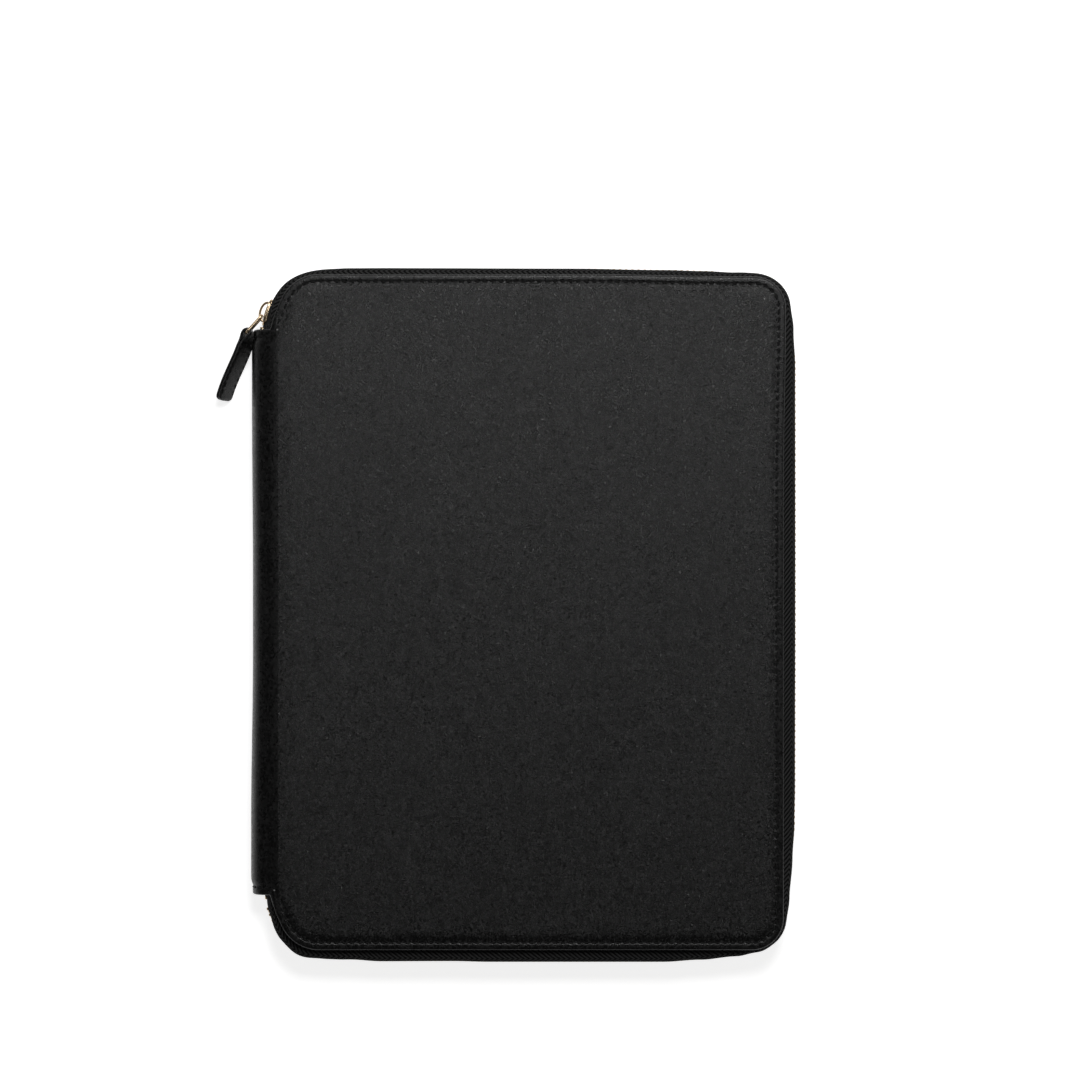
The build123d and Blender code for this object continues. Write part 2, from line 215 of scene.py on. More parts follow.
def cover_edge():
    """The cover's edge from the spine's middle line, over the top, round and back to it."""
    turn = radians(SPINE_CORNER_TURN)
    centre = np.array(SPINE_CORNER_CENTRE)
    tail_top = centre + SPINE_CORNER * np.array([-sin(turn), cos(turn)])
    notch = np.array([NOTCH_U, SPINE_HALF_LENGTH])
    tail = unit(notch - tail_top)
    tail_inward = np.array([-tail[1], tail[0]])
    # the concave round at the notch touches the tail and the spine's end
    half_turn = acos(np.clip(np.dot(-tail, [-1, 0]), -1, 1)) / 2
    reach = NOTCH_ROUND / np.tan(half_turn)
    tail_end = notch - tail * reach
    shelf_end = notch + np.array([-reach, 0])
    round_centre = shelf_end + np.array([0, NOTCH_ROUND])
    ray = tail_end - round_centre
    tail_angle = np.degrees(atan2(ray[1], ray[0]))
    upper = []
    upper += line_samples((ROUND_END_U, SPINE_HALF_LENGTH), shelf_end, 0.45, (0, -1))
    upper += arc_samples(round_centre, NOTCH_ROUND, -90, tail_angle, 8, inside=False)
    upper += line_samples(tail_end, tail_top, EDGE_STEP, tail_inward)
    upper += arc_samples(centre, SPINE_CORNER, 90 + SPINE_CORNER_TURN, 90, 24)
    fore_centre = (FORE_EDGE - FORE_CORNER, HALF_HEIGHT - FORE_CORNER)
    top_left, top_right = (centre[0], HALF_HEIGHT), (fore_centre[0], HALF_HEIGHT)
    upper += line_samples(top_left, top_right, EDGE_STEP, (0, -1))
    upper += arc_samples(fore_centre, FORE_CORNER, 90, 0, 26)
    upper += line_samples((FORE_EDGE, fore_centre[1]), (FORE_EDGE, 0), EDGE_STEP, (-1, 0))
    middle = [(np.array([FORE_EDGE, 0.0]), np.array([-1.0, 0.0]))]
    lower = [(p * (1, -1), n * (1, -1)) for p, n in reversed(upper)]
    return upper + middle + lower


SHOULDER_DROP = 0.9  # the dip where the panel runs over into the spine
FOAM_DEPTH = 1.3  # from the panel's face to the foam and board under it
FORE_DRAW, TOP_RISE = 1.1, 1.1  # how far the leather lies in and up from the CAD outline


def used_shape(u, v, h):
    """How a used case lies: shifts along u and v, and a change of height round the spine."""
    aside = -FORE_DRAW * smooth(150.0 - v, 0.0, 90.0) * smooth(u, 40.0, 130.0)
    upward = TOP_RISE * smooth(v, 60.0, 160.0) * (1 - smooth(u, 30.0, 110.0))
    drop = -SHOULDER_DROP * smooth(-u, 110.0, 121.0) * (1 - smooth(-u, 123.0, 131.0))
    # over foam and board the stitch groove can't sink any further
    padded = min(1.0, max(0.0, 1.0 + h / FOAM_DEPTH))
    drop *= padded + (1 - padded) * smooth(-u, 118.0, 123.0)
    bulge = 0.25 + 0.5 * smooth(v, 20.0, 100.0) + 0.9 * smooth(-v, 20.0, 100.0)
    return aside, upward, drop + bulge * smooth(-u, 124.0, 136.0)


def rolled(u, v, radius, back):
    """A point at a radius from the middle plane: over the flat, or round the spine's axis."""
    angle = max(0.0, SPINE_AXIS_X - u) / SPINE_RADIUS
    x = max(u, SPINE_AXIS_X) - radius * sin(angle)
    return (x, v, on_side(MID_Z + radius * cos(angle), back))


def skin_point(u, v, h, back):
    """A point of the developed sheet, at a height over the cover's outer face, in the frame."""
    aside, upward, rise = used_shape(u, v, h)
    return rolled(u + aside, v + upward, SPINE_RADIUS + h + rise, back)


def fill_inside(boundary, spots):
    """Triangles over a closed boundary and the given spots inside it."""
    count = len(boundary)
    coords = [mathutils.Vector(p) for p in boundary] + [mathutils.Vector(p) for p in spots]
    out = delaunay_2d_cdt(coords, [], [list(range(count))], 1, 1e-5)
    source = [origins[0] if origins else None for origins in out[3]]
    if None in source:
        raise RuntimeError("the fill made a point of its own")
    return [tuple(source[i] for i in tri) for tri in out[2]]


# ---- materials ----
class Nodes:
    """Short ways to add and join a material's nodes."""

    def __init__(self, name):
        self.material = bpy.data.materials.new(name)
        self.material.use_nodes = True
        self.tree = self.material.node_tree
        self.tree.nodes.clear()
        out = self.tree.nodes.new("ShaderNodeOutputMaterial")
        self.shader = self.tree.nodes.new("ShaderNodeBsdfPrincipled")
        self.tree.links.new(self.shader.outputs[0], out.inputs["Surface"])

    def add(self, kind, inputs=(), **settings):
        """A node with its settings, and inputs given as values or as other nodes' sockets."""
        node = self.tree.nodes.new(kind)
        for key, value in settings.items():
            setattr(node, key, value)
        for key, value in dict(inputs).items():
            self.put(node.inputs[key], value)
        return node

    def put(self, socket, value):
        """Set a socket to a value, or link it to another socket."""
        if isinstance(value, bpy.types.NodeSocket):
            self.tree.links.new(value, socket)
        else:
            socket.default_value = value

    def math(self, operation, *values, kind="ShaderNodeMath"):
        """A math node's result."""
        return self.add(kind, enumerate(values), operation=operation).outputs[0]

    def vector_math(self, operation, *values):
        """A vector math node's result."""
        return self.math(operation, *values, kind="ShaderNodeVectorMath")

    def zigzag(self, value):
        """Half at whole numbers, falling to nothing halfway between them."""
        fraction = self.math("FRACT", value)
        return self.math("ABSOLUTE", self.math("SUBTRACT", fraction, 0.5))

    def ramp(self, factor, stops):
        """A colour ramp over (position, grey or colour) stops."""
        node = self.add("ShaderNodeValToRGB", {"Fac": factor})
        ramp = node.color_ramp
        while len(ramp.elements) < len(stops):
            ramp.elements.new(0.5)
        for element, (position, colour) in zip(ramp.elements, stops):
            element.position = position
            if isinstance(colour, (int, float)):
                colour = (colour, colour, colour)
            element.color = (*colour, 1.0)
        return node.outputs[0]

    def noise(self, scale, detail):
        """A noise texture's value in object space."""
        inputs = {"Vector": self.place(), "Scale": scale, "Detail": detail, "Roughness": 0.55}
        return self.add("ShaderNodeTexNoise", inputs).outputs[0]

    def place(self):
        """Object coordinates, in metres."""
        return self.add("ShaderNodeTexCoord").outputs["Object"]

    def bump(self, height, strength, distance):
        """A bump node's normal."""
        inputs = {"Height": height, "Strength": strength, "Distance": distance}
        return self.add("ShaderNodeBump", inputs).outputs[0]

    def finish(self, **inputs):
        """Put values or sockets on the shader by input name, and return the material."""
        for key, value in inputs.items():
            self.put(self.shader.inputs[key.replace("_", " ")], value)
        return self.material


def leather_material(name, dark, light, grain, grain_depth, rough, specular):
    """Leather: pebbles from warped cells with creases between them, painted shade in the creases
    and a painted sparkle of random bright cells, and a slow wear of gloss.
    """
    n = Nodes(name)
    place = n.vector_math("MULTIPLY", n.place(), (1.0, 0.7, 1.0))
    warp = n.add("ShaderNodeTexNoise", {"Vector": place, "Scale": grain * 0.6, "Detail": 2.0})
    warped = n.vector_math("MULTIPLY_ADD", warp.outputs["Color"], (0.5 / grain,) * 3, place)
    inputs = {"Vector": warped, "Scale": grain, "Randomness": 0.95}
    cells = n.add("ShaderNodeTexVoronoi", inputs, feature="DISTANCE_TO_EDGE").outputs["Distance"]
    chance = n.add("ShaderNodeTexVoronoi", inputs).outputs["Color"]
    chance = n.add("ShaderNodeSeparateXYZ", {"Vector": chance}).outputs[0]
    pebble = n.ramp(cells, [(0.0, 0.0), (0.12, 0.5), (0.4, 1.0)])
    pores = n.noise(grain * 0.9, 2.0)
    height = n.math("MULTIPLY_ADD", pores, 0.25, pebble)
    # The colour is painted shade in the creases between the pebbles, and a painted sparkle where
    # cells picked at random turn bright.
    crease_shade_and_sparkle = n.math("MULTIPLY", n.math("MULTIPLY_ADD", pebble, 0.5, 0.5), chance)
    colour = n.ramp(crease_shade_and_sparkle, [(0.45, dark), (1.0, light)])
    wear = n.noise(60.0, 3.0)
    gloss = n.math("MULTIPLY_ADD", wear, 0.1, n.math("MULTIPLY_ADD", chance, 0.3, rough - 0.2))
    return n.finish(
        Base_Color=colour,
        Roughness=gloss,
        Specular_IOR_Level=specular,
        Normal=n.bump(height, 0.6, grain_depth),
    )


RIB = 2.5  # pitch of the tape's ribs along the zip


def twill_material(name, dark, light, thread, herringbone, depth):
    """Woven tape or lining: diagonal ribs from the UV map, turned back in every other column
    where a herringbone width is given; the hollows between the ribs are painted in shade."""
    n = Nodes(name)
    uv = n.add("ShaderNodeUVMap", uv_map="weave").outputs[0]
    split = n.add("ShaderNodeSeparateXYZ", {"Vector": uv})
    along, across = split.outputs[0], split.outputs[1]
    if herringbone:
        column = n.math("DIVIDE", across, herringbone)
        across = n.math("MULTIPLY", n.zigzag(column), 2.0 * herringbone)
    diagonal = n.math("DIVIDE", n.math("SUBTRACT", along, across), thread)
    rib = n.math("SINE", n.math("MULTIPLY", n.zigzag(diagonal), pi))
    cross = n.math("DIVIDE", n.math("ADD", along, across), thread * 0.5)
    fuzz = n.math("MULTIPLY_ADD", n.noise(4000.0, 2.0), 0.25, rib)
    height = n.math("MULTIPLY_ADD", n.zigzag(cross), 0.35, fuzz)
    # The colour follows the ribs: painted shade in the hollows between them, lighter on their
    # crests.
    return n.finish(
        Base_Color=n.ramp(rib, [(0.35, dark), (1.0, light)]),
        Roughness=0.82,
        Specular_IOR_Level=0.08,
        Sheen_Weight=0.01,
        Sheen_Roughness=0.5,
        Normal=n.bump(height, 0.7, depth),
    )


def metal_material(name, colour, dark, rough):
    """Pale gold plate: faint tone, fine scratches and soft wear."""
    n = Nodes(name)
    tone, scratches = n.noise(900.0, 3.0), n.noise(5000.0, 1.0)
    return n.finish(
        Base_Color=n.ramp(tone, [(0.3, dark), (0.7, colour)]),
        Metallic=1.0,
        Roughness=n.math("MULTIPLY_ADD", scratches, 0.16, rough),
        Normal=n.bump(scratches, 0.12, 0.00003),
    )


def speckled_material(name, dark, light, scale, detail, rough, specular, depth):
    """Threads, foam and board: one noise for their tone and their bumps."""
    n = Nodes(name)
    speckle = n.noise(scale, detail)
    return n.finish(
        Base_Color=n.ramp(speckle, [(0.3, dark), (0.7, light)]),
        Roughness=rough,
        Specular_IOR_Level=specular,
        Normal=n.bump(speckle, 0.4, depth),
    )


PANEL = leather_material("panel_leather", 0.0003, 0.045, 1900.0, 0.00015, 0.34, 0.35)
SPINE = leather_material("spine_leather", 0.0005, 0.012, 1500.0, 0.00008, 0.36, 0.3)
RIM = leather_material("rim_leather", 0.0005, 0.012, 1700.0, 0.00007, 0.36, 0.3)
EDGE = leather_material("edge_leather", 0.001, 0.01, 1700.0, 0.00005, 0.44, 0.22)
TAB = leather_material("tab_leather", 0.001, 0.01, 1500.0, 0.0001, 0.4, 0.35)
POCKET = leather_material("pocket_leather", 0.008, 0.016, 1300.0, 0.00012, 0.45, 0.4)
TAPE = twill_material("zip_tape_weave", 0.0, 0.032, RIB, 6.2, 0.0006)
LINING = twill_material("lining_twill", 0.006, 0.02, 0.7, 0, 0.00022)
GOLD = metal_material("pale_gold", (0.66, 0.52, 0.36), (0.48, 0.36, 0.23), 0.16)
TEETH = metal_material("teeth_gold", (0.68, 0.52, 0.34), (0.5, 0.37, 0.22), 0.24)
THREAD = speckled_material("black_thread", 0.0015, 0.005, 3500.0, 1.0, 0.75, 0.2, 0.00006)
THREAD_END = speckled_material("thread_end", 0.12, 0.22, 3500.0, 1.0, 0.75, 0.2, 0.00006)
FOAM = speckled_material("grey_foam", 0.16, 0.26, 1800.0, 4.0, 0.9, 0.5, 0.0003)
BOARD = speckled_material("grey_board", 0.28, 0.36, 1100.0, 4.0, 0.85, 0.5, 0.0001)

# ---- cover skins ----
STITCH_INSET = 3.55
STITCH_START = 1.2
STITCH_GROOVE = -1.3
# outer face of a cover from its edge inwards: inset, height
WALL = [(1.5, -4.1), (0.35, -4.1), (0.08, -3.95), (0.0, -3.6), (0.0, -2.7), (0.0, -1.9)]
ROUND = [(0.04, -1.6), (0.16, -1.34), (0.34, -1.13), (0.58, -0.97), (0.88, -0.87), (1.2, -0.82)]
RIM_BAND = [(1.7, -0.80), (2.3, -0.8), (2.7, -0.86), (2.95, -0.98)]
GROOVE = [(3.2, -1.15), (STITCH_INSET, STITCH_GROOVE), (3.9, -1.22)]
PUFF = [(4.2, -1.08), (4.75, -0.86), (5.4, -0.62), (6.2, -0.36), (7.0, -0.15), (8.0, -0.04)]
PUFF_END = [(9.4, -0.005), (10.6, 0.0)]
COVER_PROFILE = WALL + ROUND + RIM_BAND + GROOVE + PUFF + PUFF_END
INNER_PROFILE = [(2.2, -2.3), (10.6, -1.3)]
# insets where the leather gathers up between two stitches, and by how much
GATHERS = {2.7: 0.08, 2.95: 0.2, 3.2: 0.36, STITCH_INSET: 0.42, 3.9: 0.36, 4.2: 0.16}
GROOVE_EDGE = 4.3  # inset beyond which the padded slope begins
TIGHT_FROM, TIGHT_TO = 138.0, 151.0  # the slope is short along the upper edge
TIGHT_SHARE = 0.75
WALL_TOP = -1.9
THIN_WALL = -2.6  # how far the wall reaches down where only the spine is


def wall_height(point, height):
    """A wall's height over the edge: shallow where the leather runs down to the notch."""
    if height >= WALL_TOP:
        return height
    share = smooth(-point[0], 108.0, 121.0)
    foot = WALL[0][1] + (THIN_WALL - WALL[0][1]) * share
    return WALL_TOP + (height - WALL_TOP) * (foot - WALL_TOP) / (WALL[0][1] - WALL_TOP)


def slow_wave(u, v):
    """Slow rise and fall of the padded panel, in millimetres, never over the cover's face."""
    wave = sin(u / 31.0 + 1.1) * sin(v / 43.0) + 0.6 * sin(u / 17.0 - v / 23.0)
    return -0.05 * (1.6 + wave)


GRID_STEP = 6.0
FINE_STEP, FINE_TO = 0.42, -108.0  # columns round the spine, and where they end
GRID_MARGIN, SPOT_MARGIN = 0.4, 0.35


def grid_spots():
    """Spots over a cover: an even grid, with close columns round the spine."""
    columns = list(np.arange(ROUND_END_U + GRID_MARGIN, FINE_TO, FINE_STEP))
    columns += list(np.arange(FINE_TO, FORE_EDGE - GRID_MARGIN + 0.01, GRID_STEP))
    reach = HALF_HEIGHT - GRID_MARGIN
    rows = int(2 * reach / GRID_STEP)
    return [(u, -reach + 2 * reach * k / rows) for u in columns for k in range(rows + 1)]


def inside_by(polygon, spots, margin):
    """The spots at least a margin inside a polygon."""
    a, b = np.array(polygon), np.roll(polygon, -1, axis=0)
    d = b - a
    kept = []
    for spot in spots:
        p = np.array(spot)
        crosses = (a[:, 1] > p[1]) != (b[:, 1] > p[1])
        with np.errstate(divide="ignore", invalid="ignore"):
            meet = a[:, 0] + (p[1] - a[:, 1]) * d[:, 0] / d[:, 1]
        if np.count_nonzero(crosses & (p[0] < meet)) % 2 == 0:
            continue
        share = np.clip(((p - a) * d).sum(1) / np.maximum((d * d).sum(1), 1e-12), 0, 1)
        if np.linalg.norm(a + share[:, None] * d - p, axis=1).min() >= margin:
            kept.append(spot)
    return kept


def between_stitches():
    """For each point of the cover's edge: 0 beside the middle of a stitch, 1 between two."""
    line = edge_line(STITCH_INSET)
    lengths = running_lengths(line)
    run = lengths[-1] - 2 * STITCH_START
    pitch = run / int(run / STITCH_PITCH)
    return 0.5 - 0.5 * np.cos(2 * pi * (lengths - STITCH_START) / pitch)


SPINE_LEATHER_FROM = -117.0


def developed_shell(name, rows, place, materials, kind_of_row, gathers=None, spine_kind=0):
    """A closed leather or cloth shell inside the cover's edge.

    rows are (inset, height) from the hidden face's middle, round the edge, to the shown face's
    middle. place turns a point of the developed sheet and a height into a point of the frame.
    """
    swell = between_stitches()
    edge = cover_edge()
    count = len(edge)
    flat, heights, faces, kinds = [], [], [], []
    for inset, height in rows:
        lift = (gathers or {}).get(inset, 0.0)
        for (point, inward), share in zip(edge, swell):
            flat.append(tuple(point + inward * inset))
            heights.append(height + lift * share)
    for row in range(len(rows) - 1):
        for i in range(count - 1):
            a = row * count + i
            faces.append((a, a + count, a + count + 1, a + 1))
            kinds.append(kind_of_row(row))
    first = list(range(count))
    last = [(len(rows) - 1) * count + i for i in range(count)]
    seams = []
    for ring, level, kind in ((first, rows[0][1], kind_of_row(0)),
                              (last, rows[-1][1], kind_of_row(len(rows)))):
        ends = flat[ring[0]][1]
        rungs = int(2 * ends / GRID_STEP)
        middle = [(ROUND_END_U, -ends + 2 * ends * k / rungs) for k in range(1, rungs)]
        boundary = [flat[i] for i in ring] + middle
        spots = inside_by(boundary, grid_spots(), SPOT_MARGIN)
        lookup = ring + [len(flat) + k for k in range(len(middle) + len(spots))]
        seams.append([ring[-1]] + lookup[count:count + len(middle)] + [ring[0]])
        flat += middle + spots
        heights += [level] * len(middle + spots)
        for triangle in fill_inside(boundary, spots):
            faces.append(tuple(lookup[k] for k in triangle))
            kinds.append(kind)
    # close the shell along the spine's middle line and at its two ends
    hidden, shown = seams
    for k in range(len(hidden) - 1):
        faces.append((hidden[k], hidden[k + 1], shown[k + 1], shown[k]))
        kinds.append(kind_of_row(0))
    for end in (0, count - 1):
        faces.append(tuple(row * count + end for row in range(len(rows))))
        kinds.append(kind_of_row(0))
    if spine_kind:
        for k, face in enumerate(faces):
            if kinds[k] == 0 and np.mean([flat[i][0] for i in face]) < SPINE_LEATHER_FROM:
                kinds[k] = spine_kind
    points = [place(u, v, h) for (u, v), h in zip(flat, heights)]
    shell = make_piece(name, points, faces, materials, kinds)
    face_outward(shell)
    layer = shell.data.uv_layers.new(name="weave")
    for loop in shell.data.loops:
        layer.data[loop.index].uv = flat[loop.vertex_index]
    return shell


def cover_skin(name, back):
    """One cover's leather, from its rim over the panel to the middle of the spine."""
    rows = list(reversed(INNER_PROFILE)) + COVER_PROFILE
    rim_from = len(INNER_PROFILE) + len(WALL) - 1
    panel_from = len(INNER_PROFILE) + len(WALL) + len(ROUND) + len(RIM_BAND) + 1

    def place(u, v, h):
        level = wall_height((u, v), h) if h > WALL[0][1] - 1 and h < WALL_TOP else h
        if TIGHT_FROM < v < HALF_HEIGHT - GROOVE_EDGE:
            straight = smooth(u, -96.0, -84.0) * (1 - smooth(u, 101.0, 113.0))
            level *= 1 - TIGHT_SHARE * straight * smooth(v, TIGHT_FROM, TIGHT_TO)
        padded = min(1.0, max(0.0, (h + 0.5) / 0.5))
        calm = 1.0 - smooth(-u, 112.0, 122.0)
        return skin_point(u, v, level + slow_wave(u, v) * padded * calm, back)

    def kind_of_row(row):
        if row < rim_from:
            return 2
        return 1 if row < panel_from else 0

    return developed_shell(name, rows, place, [PANEL, RIM, EDGE, SPINE], kind_of_row, GATHERS, 3)


LINING_Z = 18.6
LINING_ROUND = 9.5
LINING_OPENS = 30.0  # degrees of the spine's round in which the lining spreads
LINING_ROWS = [(10.0, 0.7), (2.6, 0.65), (1.95, 0.55), (1.75, 0.35), (1.85, 0.15), (2.3, 0.02)]
LINING_ROWS += [(3.2, 0.0), (5.0, 0.0), (10.0, 0.0)]


def lining_point(u, v, h, back):
    """A point of the lining: flat under the board, then round the inside of the spine."""
    opening = smooth(SPINE_AXIS_X - u, 0.0, SPINE_RADIUS * radians(LINING_OPENS))
    flat = LINING_Z - MID_Z
    return rolled(u, v, flat + (LINING_ROUND - flat) * opening + h, back)


def cover_lining(name, back):
    """One cover's lining, round to the middle of the spine."""
    return developed_shell(
        name, LINING_ROWS, lambda u, v, h: lining_point(u, v, h, back), [LINING], lambda row: 0
    )


def edge_line(inset):
    """The cover's edge drawn in by an inset, as points on the developed sheet."""
    return np.array([point + inward * inset for point, inward in cover_edge()])


def walk(line, step, start):
    """Points and headings at even steps along a line of points."""
    lengths = running_lengths(line)
    legs = np.diff(lengths)
    count = int((lengths[-1] - 2 * start) / step)
    places = []
    for k in range(count + 1):
        at = start + (lengths[-1] - 2 * start) * k / count
        i = min(np.searchsorted(lengths, at, side="right") - 1, len(legs) - 1)
        share = (at - lengths[i]) / max(legs[i], 1e-9)
        heading = unit(line[i + 1] - line[i])
        places.append((line[i] + share * (line[i + 1] - line[i]), heading))
    return places


STITCH_LENGTH = 2.7
STITCH_RADIUS = 0.4
STITCH_LIFT = 0.1
STITCH_SLANT = 0.12
SIDES = 8


def add_stitch(builder, start, end, up, radius=STITCH_RADIUS):
    """One stitch: a thread that rises from a hole, lies over the leather and goes down again."""
    start, end, up = (np.array(p, float) for p in (start, end, up))
    along = end - start
    across = unit(np.cross(along, up))
    stations = [(0.0, -0.9, 0.6), (0.06, -0.2, 0.9), (0.2, 0.5, 1.0), (0.5, 0.75, 1.05)]
    stations += [(1 - t, lift, size) for t, lift, size in reversed(stations[:3])]
    rings = []
    for t, lift, size in stations:
        centre = start + along * t + up * lift * radius
        ring = []
        for c, s in full_turn(SIDES):
            offset = across * c * 1.15 + up * s * 0.85
            ring.append(tuple(centre + offset * radius * size))
        rings.append(ring)
    builder.loops(rings)


def skin_up(u, v, level, back):
    """The way up to a level over the leather, from one millimetre below it."""
    return np.subtract(skin_point(u, v, level, back), skin_point(u, v, level - 1.0, back))


def cover_stitching(name, back):
    """The row of stitches round one cover's panel and across the spine's ends."""
    builder = Builder()
    level = STITCH_GROOVE + STITCH_LIFT
    for spot, heading in walk(edge_line(STITCH_INSET), STITCH_PITCH, STITCH_START):
        reach = heading * STITCH_LENGTH / 2
        reach -= np.array([-heading[1], heading[0]]) * STITCH_SLANT
        start, end = (skin_point(*place, level, back) for place in (spot - reach, spot + reach))
        add_stitch(builder, start, end, skin_up(*spot, 1.0, back))
    return builder.piece(name, THREAD)


THREAD_END_SPOTS = [(-117.7, 137.1), (-119.3, -134.9)]
THREAD_END_HEIGHT = -0.85
THREAD_END_RADIUS = 0.32


def thread_ends(name, back):
    """The two melted ends of the cover's thread, beside the spine's notches."""
    builder = Builder()
    for u, v in THREAD_END_SPOTS:
        start, end = (skin_point(u + d, v, THREAD_END_HEIGHT, back) for d in (-0.5, 0.5))
        add_stitch(builder, start, end, skin_up(u, v, 0.0, back), THREAD_END_RADIUS)
    return builder.piece(name, THREAD_END)


# ---- the zip ----
# The zip's line is the CAD one, let out where the full case pushes it and drawn in at the corners.
SPINE_CENTRE_X = CHAIN_SPINE_X + CHAIN_SPINE_RADIUS
SPINE_CENTRE_Y = CHAIN_TOP - CHAIN_SPINE_RADIUS
FORE_CENTRE_X = CHAIN_FORE_X - CHAIN_FORE_RADIUS
FORE_CENTRE_Y = CHAIN_TOP - CHAIN_FORE_RADIUS
# (length along the CAD line, how far out the zip lies there)
LET_OUT = [
    (0, 1.4), (5, 2.8), (8.5, 2.2), (11.5, 0.5), (16, 0.0), (30, 0.1), (51, -1.2), (64, -0.7),
    (85, -0.35), (180, -0.5), (218, -1.0), (237, -1.5), (254, -2.7), (264, -3.1), (289, -2.4),
    (301, -1.0), (319, 0.45), (430, 0.5), (523, 0.35), (542, 0.1), (560, -1.3), (579, -3.0),
    (591, -4.4), (606, -4.3), (616, -3.4), (627, -1.5), (644, 0.7), (662, 1.75), (747, 1.75),
    (765, 1.4), (800, 1.5), (817, 0.1), (829, -0.2), (840, 1.4), (850, 0.4), (858, -0.5),
    (868, 0.0), (880, 0.1),
]
# (length along the CAD line, how far the tape bellies over the teeth: 1 hides them from above)
BELLY = [
    (0, 0.0), (10, 0.0), (18, 0.8), (34, 1.0), (64, 1.0), (90, 0.85), (170, 0.8), (200, 0.68),
    (238, 0.68), (256, 1.0), (300, 1.0), (320, 0.62), (540, 0.62), (560, 0.9), (576, 1.0),
    (628, 1.0), (646, 0.72), (800, 0.72), (820, 1.0), (856, 1.0), (864, 0.35), (880, 0.2),
]


def through_keys(value, keys):
    """A smooth curve through (place, value) keys, level at each key."""
    for (low, before), (high, after) in zip(keys, keys[1:]):
        if value <= high:
            return before + (after - before) * smooth(value, low, high)
    return keys[-1][1]


CHAIN_STEP = 1.0


def running_lengths(points):
    """The length along a line of points, at each of them."""
    return np.concatenate([[0], np.cumsum(np.linalg.norm(np.diff(points, axis=0), axis=1))])


def chain_samples():
    """The zip's line from the top end round to the bottom end: points, outward normals, lengths
    along it, and lengths along the CAD line."""

    def run(start, end, normal):
        return line_samples(start, end, CHAIN_STEP, normal)

    def turn(centre, radius, angle_from, angle_to):
        count = int(np.ceil(abs(radians(angle_to - angle_from)) * radius / CHAIN_STEP))
        return arc_samples(centre, radius, angle_from, angle_to, count, inside=False)

    spine, top, fore = CHAIN_SPINE_X, CHAIN_TOP, CHAIN_FORE_X
    at_spine, at_fore = (SPINE_CENTRE_X, SPINE_CENTRE_Y), (FORE_CENTRE_X, FORE_CENTRE_Y)
    plain = run((spine, CHAIN_END_Y), (spine, at_spine[1]), (-1, 0))
    plain += turn(at_spine, CHAIN_SPINE_RADIUS, 180, 90)
    plain += run((at_spine[0], top), (at_fore[0], top), (0, 1))
    plain += turn(at_fore, CHAIN_FORE_RADIUS, 90, 0)
    plain += run((fore, at_fore[1]), (fore, -at_fore[1]), (1, 0))
    plain += turn((at_fore[0], -at_fore[1]), CHAIN_FORE_RADIUS, 0, -90)
    plain += run((at_fore[0], -top), (at_spine[0], -top), (0, -1))
    plain += turn((at_spine[0], -at_spine[1]), CHAIN_SPINE_RADIUS, 270, 180)
    plain += run((spine, -at_spine[1]), (spine, -CHAIN_END_Y), (-1, 0))
    plain.append((np.array([spine, -CHAIN_END_Y]), (-1, 0)))
    bases = np.array([p for p, n in plain])
    normals = np.array([n for p, n in plain], float)
    cad_lengths = running_lengths(bases)
    outs = np.array([through_keys(at, LET_OUT) for at in cad_lengths])
    points = bases + normals * outs[:, None]
    return points, normals, running_lengths(points), cad_lengths


CHAIN_POINTS, CHAIN_NORMALS, CHAIN_LENGTHS, CAD_LENGTHS = chain_samples()
CHAIN_LENGTH = CHAIN_LENGTHS[-1]


def chain_at(length):
    """Point, outward normal and heading on the zip's line."""
    spot = np.array([np.interp(length, CHAIN_LENGTHS, line) for line in CHAIN_POINTS.T])
    normal = unit([np.interp(length, CHAIN_LENGTHS, line) for line in CHAIN_NORMALS.T])
    return spot, normal, np.array([normal[1], -normal[0]])


def chain_ring(place, section, back=False, along=0.0):
    """A section of (out, height) points, set square to the zip's line at a chain_at place."""
    point, normal, heading = place
    ring = []
    for out, z in section:
        x, y = point + normal * out + heading * along
        ring.append((x, y, on_side(z, back)))
    return ring


MOUTH_TURN = 16.0  # degrees of the zip's turn before the slider's mouth
MOUTH_LENGTH = SPINE_CENTRE_Y - CHAIN_END_Y + CHAIN_SPINE_RADIUS * radians(MOUTH_TURN)
STOP_LENGTH, STOP_HALF_WIDTH = 8.0, 1.3
FIRST_TOOTH = 10.6
ROW_PART = 0.85  # how far the rows part between the slider and the stops
# front tape's section: out from the zip's line, height; from its sewn edge to its beaded edge
TAPE_SECTION = [(-11.5, 19.55), (-7.5, 19.5), (-4.4, 19.35), (-3.2, 18.95), (-2.2, 18.2)]
TAPE_SECTION += [(-1.25, 17.2), (-0.55, 16.1), (-0.15, 14.9), (0.0, 13.6), (0.0, 12.95)]
# the same points where the tape bellies out over the teeth, at the corners and the spine's ends
TAPE_BELLY = [(-11.5, 19.55), (-7.5, 19.5), (-4.0, 19.45), (-1.6, 19.3), (0.2, 18.85)]
TAPE_BELLY += [(1.15, 18.1), (1.15, 17.25), (0.42, 16.75), (0.05, 15.6), (0.0, 12.95)]
TAPE_HALF = 0.28
BEAD = 0.42
TAPE_TUCK = -4.6  # the tape's inner reach where the covers end
TAIL_DROP = 0.5
TAPE_STEP = 1.6


